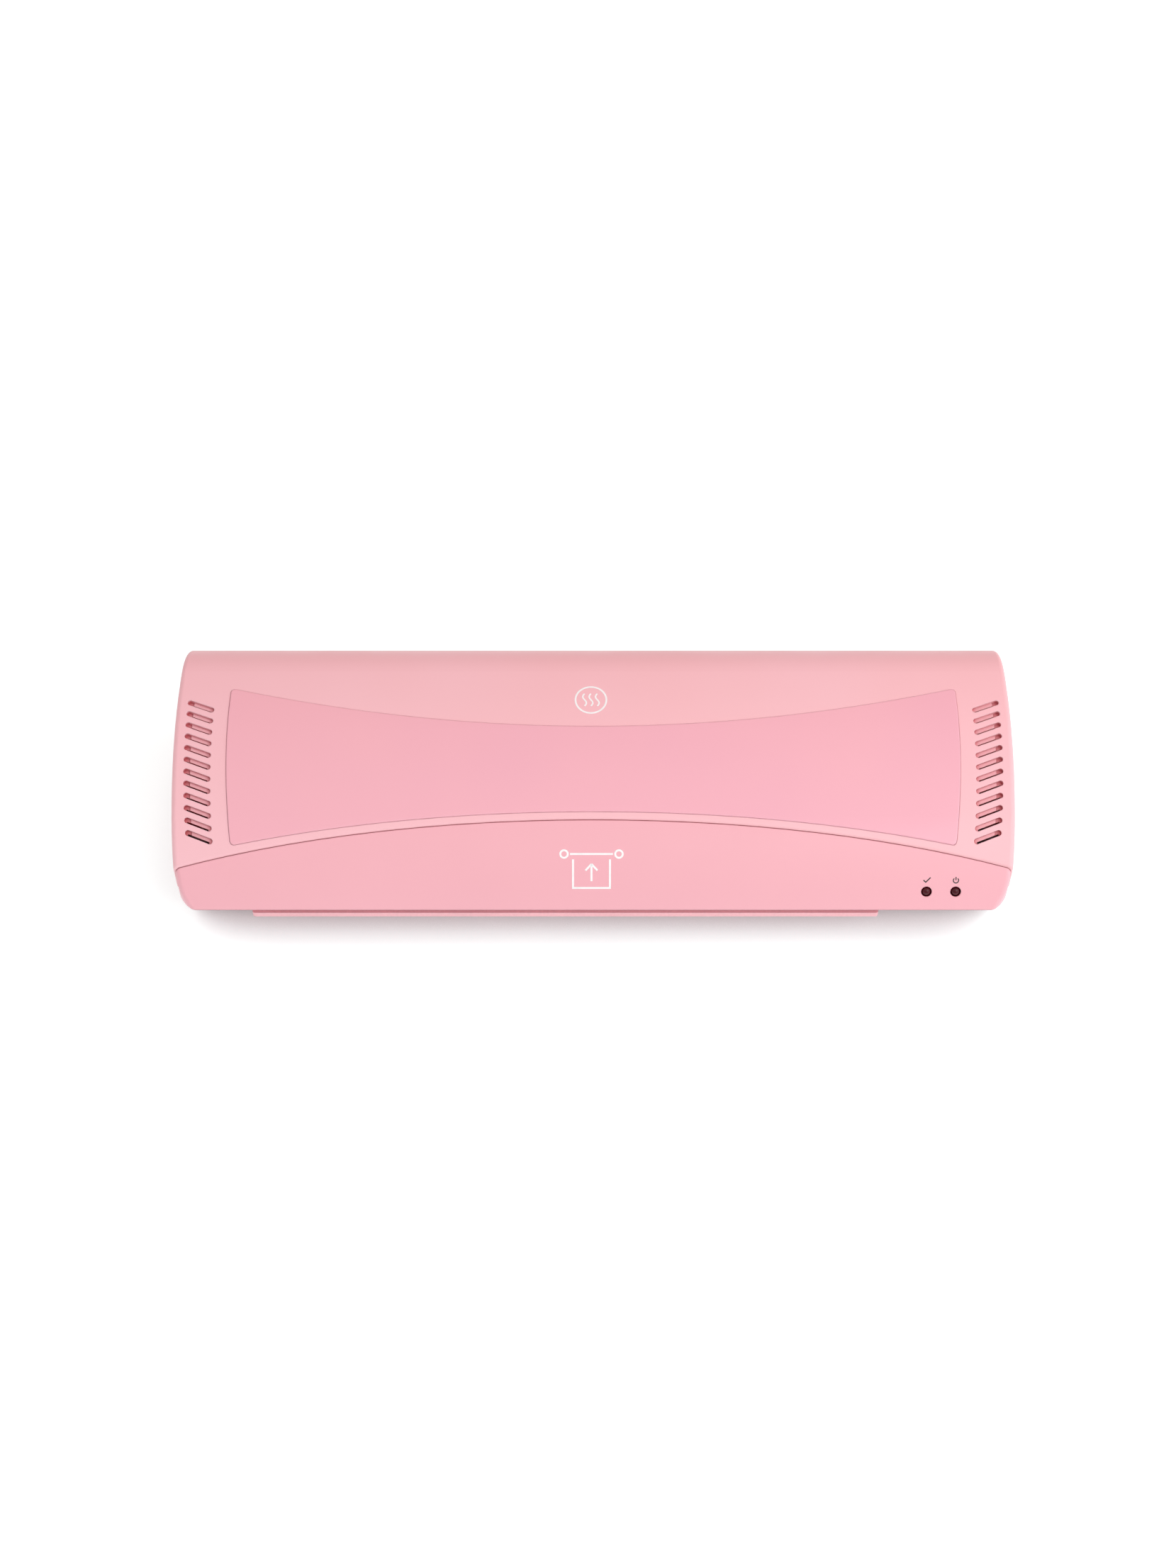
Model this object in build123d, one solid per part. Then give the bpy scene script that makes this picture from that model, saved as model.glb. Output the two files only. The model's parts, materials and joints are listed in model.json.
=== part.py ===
from build123d import *
import os
from math import acos, cos, degrees, pi, radians, sin, sqrt, tan

# Desktop pouch laminator. Millimetres, +Z up, +X right, -Y towards the user.
# The origin is on the table under the middle of the machine.

# ---------------------------------------------------------------- casing
HALF_WIDTH = 170.0
BARREL_RADIUS = 770.0           # the ends of the casing bow out slightly in plan
BARREL_Y = 3.0
REAR_Y = 56.5
CROWN_Y, CROWN_Z = 32.0, 65.0   # where the front slope starts from the crown
BACK_RADIUS = 22.0
TOP_RADIUS = 170.0
TOP_SWEEP = 21.4                # degrees of the top arc before the front arc takes over
FRONT_RADIUS = 58.0
EDGE_RADIUS = 2.0
WALL = 2.4
PARTING_Z = 28.0
GAP = 0.2                       # visible shadow gap between casing pieces
APRON_STEP = 0.8                # the apron and the tub lie this far inside the cover's skin
APRON_WALL = 2.0
LIP_Y = -58.2
APRON_FRONT_Y, FRONT_CORNER_R = -60.3, 14.0
TUB_FRONT_Y, TUB_CORNER_X, TUB_CORNER_SLOPE = -53.8, 160.4, 0.31
APRON_EDGE_RADIUS = 3.0
SEAM_Y, SEAM_RADIUS, SEAM_EDGE_RADIUS = -30.7, 853.0, 0.8
FLOOR_Z = 3.0

# ---------------------------------------------------------------- inlay panel
INLAY_HALF_X, INLAY_SIDE_RADIUS = 148.4, 350.0
INLAY_SIDE_Y = 6.7
INLAY_REAR_Y, INLAY_REAR_RADIUS = 7.7, 620.0
INLAY_SEAM_OFFSET = 2.8
INLAY_PROUD, INLAY_SUNK, INLAY_GAP = 0.4, 0.8, 0.08
INLAY_EDGE_RADIUS = 0.3

# ---------------------------------------------------------------- vents
VENT_COUNT = 12
VENT_X, VENT_BOW, VENT_WIDEST = 160.0, 0.029, 2.5
VENT_LENGTH, VENT_WIDTH = 11.7, 2.3
VENT_DEPTH, VENT_SLIT = 1.2, 0.8
VENT_POCKET, VENT_POCKET_DEPTH = 2.9, 1.9
VENT_TILT = 21.0
VENT_FIRST, VENT_PITCH = 17.0, 5.15

# ---------------------------------------------------------------- pouch path
SLOT_X0, SLOT_X1 = -138.0, 115.6
SLOT_Z0, SLOT_Z1 = 23.4, 28.2
PATH_Z = 26.0
SHELF_FRONT_Y, SHELF_BOTTOM_Z = -56.5, 20.0

# ---------------------------------------------------------------- frames and rollers
FRAME_THICK = 1.2
FRAME_LEFT_X, FRAME_RIGHT_X = -129.8, 107.2     # inner faces
ROLLER_Y, ROLLER_R, SHAFT_R = 14.0, 9.0, 4.0
LOWER_Z, UPPER_Z = 16.85, 35.15
SLEEVE_X0, SLEEVE_X1 = -125.3, 102.7
FIT = 0.05                                      # radial running clearance
TIE_BARS = ((-34.0, 17.0), (36.0, 16.0), (-18.0, 47.0))
TIE_R = 2.5
TAB_Y = (-30.0, 34.0)

# ---------------------------------------------------------------- gears
MODULE = 1.0
ROLLER_TEETH, IDLER_TEETH, PINION_TEETH = 18, 24, 12
GEAR_X0, GEAR_X1 = 112.5, 119.5
CENTRE_SLACK = 0.15
IDLER_DIRECTION, PINION_DIRECTION = 165.0, 120.0
IDLER_PIN_R, MOTOR_SHAFT_R = 2.5, 2.5
BRACKET_X = 121.3
MOTOR_R, MOTOR_LENGTH, MOTOR_OFFSET = 21.0, 19.0, 7.0
STANDOFFS = ((-33.0, 34.0), (2.0, 50.0), (-24.0, 12.0))
EAR_PITCH = 54.0

# ---------------------------------------------------------------- release
RELEASE_Y, RELEASE_Z, RELEASE_R = 33.0, 33.0, 3.0
CAM_R, CAM_OFFSET = 4.0, 2.62
LEVER_X, LEVER_REST, LEVER_TIP_Y = -150.0, -5.0, 61.0

# ---------------------------------------------------------------- electrics
LED_X = (133.7, 145.4)
LED_ANGLE = 51.6                # degrees from the vertical round the front arc
SWITCH_X, SWITCH_Z = 140.0, 16.0
GLAND_X, GLAND_Z, GLAND_BORE_R = 122.0, 15.0, 3.1

CASE_SCREWS = ((-160.0, -30.0), (160.0, -30.0), (-160.0, 40.0), (160.0, 40.0))
FEET = ((-147.0, -31.0), (147.0, -31.0), (-147.0, 42.0), (147.0, 42.0))

TOP_CENTRE = (CROWN_Y, CROWN_Z - TOP_RADIUS)
FRONT_CENTRE = (
    TOP_CENTRE[0] - (TOP_RADIUS - FRONT_RADIUS) * sin(radians(TOP_SWEEP)),
    TOP_CENTRE[1] + (TOP_RADIUS - FRONT_RADIUS) * cos(radians(TOP_SWEEP)),
)
SEAM_CENTRE_Y = SEAM_Y - SEAM_RADIUS
TUB_REAR = REAR_Y - APRON_STEP
MIDDLE_Y = (LIP_Y + LEVER_TIP_Y) / 2     # the outer box's middle, which the origin is under


# ================================================================ helpers
def block(x0, x1, y0, y1, z0, z1):
    """A box between two corners."""
    return Pos((x0 + x1) / 2, (y0 + y1) / 2, (z0 + z1) / 2) * Box(x1 - x0, y1 - y0, z1 - z0)


def rod_x(y, z, radius, x0, x1):
    """A cylinder along X."""
    return Pos((x0 + x1) / 2, y, z) * Rot(0, 90, 0) * Cylinder(radius, x1 - x0)


def rod_y(x, z, radius, y0, y1):
    """A cylinder along Y."""
    return Pos(x, (y0 + y1) / 2, z) * Rot(90, 0, 0) * Cylinder(radius, y1 - y0)


def rod_z(x, y, radius, z0, z1):
    """A cylinder along Z."""
    return Pos(x, y, (z0 + z1) / 2) * Cylinder(radius, z1 - z0)


def plate_x(points, x0, x1):
    """A polygon in the Y-Z plane, extruded from x0 to x1."""
    face = make_face(Polyline(*points, close=True))
    return Pos(x0, 0, 0) * extrude(Plane.YZ * face, x1 - x0)


def round_arc(centre, radius, angle_a, angle_b):
    """An arc in the side view; angles in degrees from the vertical towards the front."""
    def at(angle):
        return centre[0] - radius * sin(radians(angle)), centre[1] + radius * cos(radians(angle))
    return ThreePointArc(at(angle_a), at((angle_a + angle_b) / 2), at(angle_b))


def group(shapes):
    """Separate solids that share one node."""
    return Compound(children=[solid for shape in shapes for solid in shape.solids()])


# ================================================================ casing skins
def plan_outline(inset):
    """The casing's plan: straight front and rear, ends bowed by BARREL_RADIUS."""
    centre_x = HALF_WIDTH - BARREL_RADIUS
    plan = Rectangle(3 * HALF_WIDTH, 400)
    plan &= Pos(centre_x, BARREL_Y) * Circle(BARREL_RADIUS - inset)
    plan &= Pos(-centre_x, BARREL_Y) * Circle(BARREL_RADIUS - inset)
    return plan


def apron_plan(inset):
    """The casing's plan with a straight front and large rounded front corners."""
    plan = plan_outline(inset) & Pos(0, APRON_FRONT_Y + inset - APRON_STEP + 100) * Rectangle(400, 200)
    return fillet(plan.vertices().group_by(Axis.Y)[0], FRONT_CORNER_R + APRON_STEP - inset)


def skin(inset, low_z, edge_radius=EDGE_RADIUS, plan=plan_outline):
    """The casing's upper body, moved in by inset from the outer skin, above low_z."""
    rear = REAR_Y - inset
    crown = CROWN_Z - inset
    back_y, back_z = REAR_Y - BACK_RADIUS, CROWN_Z - BACK_RADIUS
    lip_angle = degrees(acos((low_z - FRONT_CENTRE[1]) / (FRONT_RADIUS - inset)))
    wall = Line((rear, low_z), (rear, back_z))
    back = round_arc((back_y, back_z), BACK_RADIUS - inset, -90, 0)
    flat = Line((back_y, crown), (CROWN_Y, crown))
    top = round_arc(TOP_CENTRE, TOP_RADIUS - inset, 0, TOP_SWEEP)
    front = round_arc(FRONT_CENTRE, FRONT_RADIUS - inset, TOP_SWEEP, lip_angle)
    section = make_face([wall, back, flat, top, front, Line(front @ 1, (rear, low_z))])
    body = extrude(Plane.YZ * section, HALF_WIDTH + 10, both=True)
    body &= extrude(plan(inset), crown + 10)
    ends = [e for e in body.edges() if abs(e.center().X) > 150 and e.center().Z > low_z + 0.01
            and (e.center().Y > 0 or e.bounding_box().size.Y > 1)]
    return fillet(ends, max(edge_radius - inset, 0.5))


def seam_prism(offset):
    """Everything in front of the arched seam, moved back by offset."""
    return Pos(0, SEAM_CENTRE_Y, 0) * Cylinder(SEAM_RADIUS + offset, 200)


def front_frame(angle, depth):
    """A plane on the apron's skin at an angle round the front arc, depth below the surface."""
    radius = FRONT_RADIUS - APRON_STEP - depth
    y = FRONT_CENTRE[0] - radius * sin(radians(angle))
    z = FRONT_CENTRE[1] + radius * cos(radians(angle))
    return Plane((0, y, z), x_dir=(1, 0, 0), z_dir=(0, -sin(radians(angle)), cos(radians(angle))))


# ================================================================ cover and inlay
def inlay_outline(grow):
    """Hourglass: two arched long edges and two bowed ends."""
    face = Rectangle(2 * INLAY_HALF_X + 20, 90)
    face -= Pos(0, SEAM_CENTRE_Y) * Circle(SEAM_RADIUS + INLAY_SEAM_OFFSET - grow)
    face -= Pos(0, INLAY_REAR_Y + INLAY_REAR_RADIUS) * Circle(INLAY_REAR_RADIUS - grow)
    side_x = INLAY_HALF_X - INLAY_SIDE_RADIUS
    face &= Pos(side_x, INLAY_SIDE_Y) * Circle(INLAY_SIDE_RADIUS + grow)
    face &= Pos(-side_x, INLAY_SIDE_Y) * Circle(INLAY_SIDE_RADIUS + grow)
    return fillet(face.vertices(), 1.6)


def vent_tool():
    """One vent: a shallow slot, deeper at its outer end, with a through slit along its front edge."""
    outline = Rot(0, 0, VENT_TILT) * SlotOverall(VENT_LENGTH, VENT_WIDTH)
    slot = Pos(0, 0, -VENT_DEPTH) * extrude(outline, 6)
    pocket = Pos(0, 0, -VENT_POCKET_DEPTH) * extrude(outline, 3)
    slot += pocket & block(VENT_LENGTH / 2 - VENT_POCKET, VENT_LENGTH, -9, 9, -9, 9)
    slit = Box(VENT_LENGTH - VENT_WIDTH, VENT_SLIT, 12)
    return slot + Rot(0, 0, VENT_TILT) * Pos(0, (VENT_SLIT - VENT_WIDTH) / 2, 0) * slit


def vent_places():
    """Frames on the skin for each right-hand vent, from the rear to the front."""
    arc_end = radians(TOP_SWEEP) * TOP_RADIUS
    for index in range(VENT_COUNT):
        run = CROWN_Y - VENT_FIRST + index * VENT_PITCH
        if run < arc_end:
            angle, centre, radius = degrees(run / TOP_RADIUS), TOP_CENTRE, TOP_RADIUS
        else:
            angle = TOP_SWEEP + degrees((run - arc_end) / FRONT_RADIUS)
            centre, radius = FRONT_CENTRE, FRONT_RADIUS
        y = centre[0] - radius * sin(radians(angle))
        z = centre[1] + radius * cos(radians(angle))
        x = VENT_X - VENT_BOW * (index - VENT_WIDEST) ** 2
        yield Pos(x, y, z) * Rot(angle, 0, 0)


def top_cover():
    """Upper shell with the inlay recess, vents, screw bosses and the lever slot."""
    low = PARTING_Z + GAP
    shell = skin(0, low) - skin(WALL, low - 5)
    boss_zone = skin(WALL / 2, 10)
    for x, y in CASE_SCREWS:
        shell += rod_z(x, y, 3.5, 12, 64) & boss_zone
    for x in (-60, 60):
        shell += (block(x - 0.8, x + 0.8, -24, 44, 40, 64) & boss_zone) - skin(WALL + 4, low - 5)
    shell -= seam_prism(GAP)
    seam_edge = max((e for e in shell.edges() if along_seam(e)), key=lambda e: e.center().Z)
    shell = fillet(seam_edge, SEAM_EDGE_RADIUS)
    recess = extrude(inlay_outline(INLAY_GAP), 80) - skin(INLAY_SUNK, 5)
    shell -= recess
    tool = vent_tool()
    right = [place * tool for place in vent_places()]
    shell -= right + [mirror(cut, Plane.YZ) for cut in right]
    for x, y in CASE_SCREWS:
        shell -= rod_z(x, y, 1.25, 11, 26)
    shell -= block(LEVER_X - 6.5, LEVER_X + 6.5, REAR_Y - 12, REAR_Y + 2, low - 1, 52)
    return shell


def along_seam(edge):
    """True for the long edges of the cover's arched front face."""
    middle = edge @ 0.5
    reach = sqrt(middle.X ** 2 + (middle.Y - SEAM_CENTRE_Y) ** 2)
    return edge.length > HALF_WIDTH and abs(reach - SEAM_RADIUS - GAP) < 0.05


def top_inlay_panel():
    """Thin plate that follows the cover's curve and stands slightly proud of it."""
    plate = skin(-INLAY_PROUD, 5) - skin(INLAY_SUNK, 4)
    panel = plate & extrude(inlay_outline(0), 80)
    tops = [f for f in panel.faces() if f.area > 1000 and f.normal_at().Z > 0.3]
    borders = [e for f in tops for e in f.edges()]
    rim = [e for e in borders if sum(e.is_same(other) for other in borders) == 1]
    return fillet(rim, INLAY_EDGE_RADIUS)


# ================================================================ apron
def front_apron():
    """Smooth front panel: skin, tongue under the cover, slot ceiling and lamp holes."""
    low = PARTING_Z + GAP
    outer = skin(APRON_STEP, low - 14, APRON_EDGE_RADIUS, apron_plan)
    inner = skin(APRON_STEP + APRON_WALL, low - 16, 0, apron_plan)
    shell = (outer - inner) & seam_prism(0) & block(-200, 200, -80, 0, low, 80)
    tongue = skin(WALL + 0.2, low) - skin(WALL + 1.6, low - 5)
    tongue &= extrude(apron_plan(APRON_STEP + APRON_WALL - 0.2), 80)
    shell += (tongue & seam_prism(4)) - seam_prism(-2)
    ledge = block(SLOT_X0 - 2, SLOT_X1 + 2, -60, -41, SLOT_Z1, SLOT_Z1 + 1.8)
    shell += ledge & skin(APRON_STEP + 1, 20)
    axis = front_frame(LED_ANGLE, 0)
    for x in LED_X:
        shell -= axis * Pos(x, 0, -4) * Cylinder(2.15, 12)
    for x in (LED_X[0] - 5.2, LED_X[1] + 5.2):
        post = axis * Pos(x, 0, -4.6) * Cylinder(2.0, 6.8)
        shell += post & skin(APRON_STEP + 0.5, 10)
        shell -= axis * Pos(x, 0, -6) * Cylinder(0.8, 5.0)
    return shell


def lamp(x):
    """A 3 mm lamp: flanged base, body and dome, with its axis square to the apron."""
    body = Pos(0, 0, -3.9) * Cylinder(1.85, 5.4)
    dome = Pos(0, 0, -1.2) * Sphere(1.85)
    base = Pos(0, 0, -6.3) * Cylinder(2.1, 1.0)
    return front_frame(LED_ANGLE, 0) * Pos(x, 0, 0) * (body + dome + base)


def lamp_board():
    """Circuit board behind the lamps."""
    middle = (LED_X[0] + LED_X[1]) / 2
    board = Pos(middle, 0, -8.8) * Box(27, 12, 1.6)
    for x in (LED_X[0] - 5.2, LED_X[1] + 5.2):
        board -= Pos(x, 0, -8.8) * Cylinder(1.0, 3)
    return front_frame(LED_ANGLE, 0) * board


def board_resistors():
    """Two axial resistors behind the board."""
    middle = (LED_X[0] + LED_X[1]) / 2
    parts = [Pos(middle + side * 3.5, 0, -11.0) * Rot(90, 0, 0) * Cylinder(1.1, 6.3) for side in (-1, 1)]
    return group([front_frame(LED_ANGLE, 0) * part for part in parts])


def board_screws():
    """Two self-tapping screws that hold the board to the apron's posts."""
    parts = []
    for x in (LED_X[0] - 5.2, LED_X[1] + 5.2):
        screw = Pos(x, 0, -7.6) * Cylinder(0.8, 4.0) + Pos(x, 0, -10.2) * Cylinder(1.7, 1.2)
        parts.append(front_frame(LED_ANGLE, 0) * screw)
    return group(parts)


# ================================================================ bottom case
TUB_OUTER = ((TUB_REAR, PARTING_Z), (TUB_REAR, 7), (TUB_REAR - 4, FLOOR_Z),
             (-39.4, FLOOR_Z), (TUB_FRONT_Y, 22.5), (TUB_FRONT_Y, PARTING_Z))
TUB_INNER = ((TUB_REAR - 2.4, PARTING_Z + 1), (TUB_REAR - 2.4, 8), (TUB_REAR - 5, 5.4), (-38.1, 5.4),
             (TUB_FRONT_Y + 2.4, 23.25), (TUB_FRONT_Y + 2.4, PARTING_Z + 1))
TUB_TOP_X, TUB_BOTTOM_X = 169.6, 165.6
FLOOR_TOP = 5.4


def tub_corners(inset):
    """Plan that narrows towards the front, so that the tub hides behind the apron's rounded corners."""
    x, y, run = TUB_CORNER_X - inset, TUB_FRONT_Y - 4, 34
    wide = x + run * TUB_CORNER_SLOPE
    half = [(x, y), (wide, y + run), (wide, 90)]
    return make_face(Polyline(*half, *[(-px, py) for px, py in reversed(half)], close=True))


def corner_flange():
    """Rim round the tub's front corners that closes the gap under the apron."""
    plan = apron_plan(APRON_STEP + 0.6) & Pos(0, TUB_FRONT_Y + 50) * Rectangle(400, 100)
    rim = Pos(0, 0, PARTING_Z - 2.4) * extrude(plan, 2.4)
    keep = block(TUB_CORNER_X - 8, 200, -80, -34, 20, 30)
    return rim & (keep + mirror(keep, Plane.YZ))


def tub_body(points, inset, radius):
    """A closed tub shape with its rear upright corners rounded."""
    body = plate_x(points, -HALF_WIDTH - 5, HALF_WIDTH + 5)
    body &= extrude(plan_outline(APRON_STEP + inset) & tub_corners(inset), 60)
    uprights = [e for e in body.edges() if abs(e.center().X) > HALF_WIDTH - 20 and e.center().Y > 46
                and 9 < e.center().Z < 27]
    body = fillet(uprights, radius)
    top, bottom = TUB_TOP_X - inset, TUB_BOTTOM_X - inset
    drafted = make_face(Polyline((top, PARTING_Z + 5), (bottom, 0), (-bottom, 0), (-top, PARTING_Z + 5),
                                 close=True))
    return body & extrude(Plane.XZ * drafted, 100, both=True)


def bottom_case():
    """Lower tub with the slot notches, bosses, posts, floor vents and rear wall cut-outs."""
    outer = tub_body(TUB_OUTER, 0, 2.0)
    inner = tub_body(TUB_INNER, WALL, 1.0)
    tub = outer - inner + (corner_flange() - inner)
    tongue = extrude(plan_outline(WALL + 0.6) - plan_outline(WALL + 1.8), 7)
    tongue &= block(-200, 200, -42, 46, 0, 10)
    tub += Pos(0, 0, 24) * tongue
    tub -= block(SLOT_X0, SLOT_X1, -60, -41.5, SHELF_BOTTOM_Z - 0.1, 40)
    for x0 in (SLOT_X0 - 1.6, SLOT_X1):
        tub += block(x0, x0 + 1.6, -60, -41, 5, PARTING_Z) & outer
    tub -= block(SLOT_X0, SLOT_X1, 45, REAR_Y + 5, SLOT_Z0, 40)
    for x, y in CASE_SCREWS:
        tub += rod_z(x, y, 4.5, 4, 11.8)
        tub -= rod_z(x, y, 3.5, 2, 9)
        tub -= rod_z(x, y, 1.7, 8, 12)
    for x in (FRAME_LEFT_X - 6.2, FRAME_RIGHT_X + 6.2):
        for y in TAB_Y:
            tub += rod_z(x, y, 4, 5, 8)
            tub -= rod_z(x, y, 1.2, 4.6, 9)
    for x, y in FEET:
        tub -= rod_z(x, y, 2.0, 2, 6)
    for row_y in (-20, 18):
        for index in range(10):
            x = -95 + index * 19.0
            tub -= block(x - 1.2, x + 1.2, row_y - 10, row_y + 10, 2, 6)
    tub -= block(SWITCH_X - 9.6, SWITCH_X + 9.6, 48, REAR_Y + 2, SWITCH_Z - 6.6, SWITCH_Z + 6.6)
    tub -= rod_y(GLAND_X, GLAND_Z, 4.5, 48, REAR_Y + 2)
    return tub


def feed_shelf():
    """Strip in the front slot that the pouch is laid on, with its clip rib behind the wall."""
    x0, x1 = SLOT_X0 + 0.2, SLOT_X1 - 0.3
    shelf = block(x0, x1, SHELF_FRONT_Y, -41.8, SHELF_BOTTOM_Z, SLOT_Z0)
    corners = shelf.edges().filter_by(Axis.Z).group_by(Axis.Y)[0]
    shelf = fillet(corners, 1.2)
    lower = shelf.edges().group_by(Axis.Z)[0].group_by(Axis.Y)[0]
    shelf = chamfer(lower, 0.7)
    shelf -= block(x0 + 4, x1 - 4, -49.4, -43, SHELF_BOTTOM_Z - 1, SLOT_Z0 - 1.8)
    return shelf + block(x0 + 30, x1 - 30, -45.0, -43.6, 15.5, SLOT_Z0 - 1.7)


def rubber_feet():
    """Four pads pegged into the tub's floor."""
    parts = []
    for x, y in FEET:
        pad = fillet(rod_z(x, y, 6, 0, FLOOR_Z).edges().group_by(Axis.Z)[0], 0.8)
        parts.append(pad + rod_z(x, y, 2.0, 2, 6))
    return group(parts)


def case_screws():
    """Four pan-head screws from below into the cover's bosses."""
    parts = []
    for x, y in CASE_SCREWS:
        head = rod_z(x, y, 2.8, 7.0, 9.0)
        head -= block(x - 1.8, x + 1.8, y - 0.4, y + 0.4, 6, 7.8)
        head -= block(x - 0.4, x + 0.4, y - 1.8, y + 1.8, 6, 7.8)
        parts.append(head + rod_z(x, y, 1.25, 9.0, 24))
    return group(parts)


# ================================================================ rear wall fittings
def cord_gland():
    """Rubber bush that lines the cord's hole."""
    gland = rod_y(GLAND_X, GLAND_Z, 4.5, TUB_REAR - 6.2, TUB_REAR)
    gland += rod_y(GLAND_X, GLAND_Z, 5.6, TUB_REAR, TUB_REAR + 2.0)
    gland += rod_y(GLAND_X, GLAND_Z, 5.4, TUB_REAR - 4.6, TUB_REAR - 2.4)
    return gland - rod_y(GLAND_X, GLAND_Z, GLAND_BORE_R, TUB_REAR - 8, TUB_REAR + 4)


def switch_housing():
    """Rectangular rocker switch body with its bezel and three blade terminals."""
    x, z, face = SWITCH_X, SWITCH_Z, TUB_REAR
    bezel = block(x - 10.5, x + 10.5, face, face + 1.8, z - 7.5, z + 7.5)
    bezel = chamfer(bezel.faces().sort_by(Axis.Y)[-1].edges(), 0.6)
    body = bezel + block(x - 9.5, x + 9.5, face - 12.7, face + 0.1, z - 6.5, z + 6.5)
    well = rod_z(x, face, 8.4, z - 5.3, z + 5.3)
    body -= well + block(x - 8.4, x + 8.4, face, face + 5, z - 5.3, z + 5.3)
    for side in (-6.0, 0.0, 6.0):
        body += block(x + side - 0.4, x + side + 0.4, face - 19.7, face - 12.6, z - 2.4, z + 2.4)
    return body


def power_rocker():
    """Three-position rocker: round underneath, two flats that meet in the middle on top."""
    x, z, face = SWITCH_X, SWITCH_Z, TUB_REAR
    drum = rod_z(x, face, 8.05, z - 5.0, z + 5.0)
    cutter = make_face(Polyline((x - 12, face + 3.6), (x, face + 1.9), (x + 12, face + 3.6),
                                (x + 12, face + 12), (x - 12, face + 12), close=True))
    drum -= Pos(0, 0, z - 6) * extrude(cutter, 12)
    drum -= rod_z(x, face, 6.0, z - 5.5, z + 5.5) & block(x - 9, x + 9, face - 9, face - 2, 0, 40)
    marks = [block(x + side * 5.2 - 0.25, x + side * 5.2 + 0.25, face, face + 9, z - 1.6, z + 1.6)
             for side in (-1, 1)]
    groove = Pos(x, face + 2.64, z) * Box(20, 0.2, 10.2)
    return drum - [mark & (Pos(0, 0.2, 0) * groove) for mark in marks]


# ================================================================ side frames
FRAME_OUTLINE = ((-40, 8), (42, 8), (42, 42), (30, 55), (-8, 55), (-30, 46), (-40, 34))


def side_frame(inner_x, side):
    """Steel plate with two feet, the bush hole, the bearing window and plate slots."""
    outer_x = inner_x + side * FRAME_THICK
    low_x, high_x = sorted((inner_x, outer_x))
    plate = plate_x(FRAME_OUTLINE, low_x, high_x)
    foot_x = sorted((inner_x, inner_x + side * 11.2))
    for y in TAB_Y:
        plate += block(foot_x[0], foot_x[1], y - 6, y + 6, 8, 9.2)
        plate -= rod_z(inner_x + side * 6.2, y, 1.6, 7, 10)
    cut_x = (low_x - 1, high_x + 1)
    plate -= rod_x(ROLLER_Y, LOWER_Z, 6.0, *cut_x)
    plate -= block(*cut_x, ROLLER_Y - 6.2, ROLLER_Y + 6.2, 29.5, 50)
    plate += block(low_x, high_x, ROLLER_Y - 1.5, ROLLER_Y + 1.5, 47, 50.5)
    plate -= rod_x(RELEASE_Y, RELEASE_Z, RELEASE_R + FIT, *cut_x)
    plate -= block(*cut_x, -31, -12, 23.6, 25.3) + block(*cut_x, -31, -12, 26.7, 28.4)
    for y, z in TIE_BARS:
        plate -= rod_x(y, z, 1.6, *cut_x)
    if side > 0:
        for y, z in STANDOFFS:
            plate -= rod_x(y, z, 1.3, *cut_x)
        plate -= rod_x(*idler_centre(), IDLER_PIN_R, *cut_x)
    return plate


def tie_bars():
    """Round bars that hold the frames apart, with tapped ends."""
    parts = []
    for y, z in TIE_BARS:
        bar = rod_x(y, z, TIE_R, FRAME_LEFT_X, FRAME_RIGHT_X)
        bar -= rod_x(y, z, 1.25, FRAME_LEFT_X - 1, FRAME_LEFT_X + 8)
        bar -= rod_x(y, z, 1.25, FRAME_RIGHT_X - 8, FRAME_RIGHT_X + 1)
        parts.append(bar)
    return group(parts)


def screw_x(y, z, seat_x, side, length, head_r, shank_r):
    """A pan-head screw along X whose head sits on the seat and stands out towards side."""
    head = rod_x(y, z, head_r, *sorted((seat_x, seat_x + side * 2.0)))
    head -= block(*sorted((seat_x + side * 1.1, seat_x + side * 3)), y - head_r * 0.6, y + head_r * 0.6,
                  z - 0.35, z + 0.35)
    return head + rod_x(y, z, shank_r, *sorted((seat_x, seat_x - side * length)))


def tie_bar_screws():
    """Screws through the frames into the tie bars."""
    parts = []
    for y, z in TIE_BARS:
        parts.append(screw_x(y, z, FRAME_LEFT_X - FRAME_THICK, -1, 7, 3.2, 1.25))
        parts.append(screw_x(y, z, FRAME_RIGHT_X + FRAME_THICK, 1, 7, 3.2, 1.25))
    return group(parts)


def frame_screws():
    """Screws through the frames' feet into the tub's posts."""
    parts = []
    for x in (FRAME_LEFT_X - 6.2, FRAME_RIGHT_X + 6.2):
        for y in TAB_Y:
            head = rod_z(x, y, 2.6, 9.2, 11.0) - block(x - 1.6, x + 1.6, y - 0.35, y + 0.35, 10.2, 12)
            parts.append(head + rod_z(x, y, 1.2, 5.5, 9.3))
    return group(parts)


# ================================================================ rollers and bearings
def roller_shaft(z):
    """Steel shaft that carries a sleeve between the frames and a gear beyond the right one."""
    return chamfer(rod_x(ROLLER_Y, z, SHAFT_R, -136.5, 120.5).edges(), 0.4)


def roller_sleeve(z):
    """Silicone tube bonded to the shaft."""
    sleeve = rod_x(ROLLER_Y, z, ROLLER_R, SLEEVE_X0, SLEEVE_X1)
    return chamfer(sleeve.edges(), 0.5) - rod_x(ROLLER_Y, z, SHAFT_R, SLEEVE_X0 - 1, SLEEVE_X1 + 1)


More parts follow.
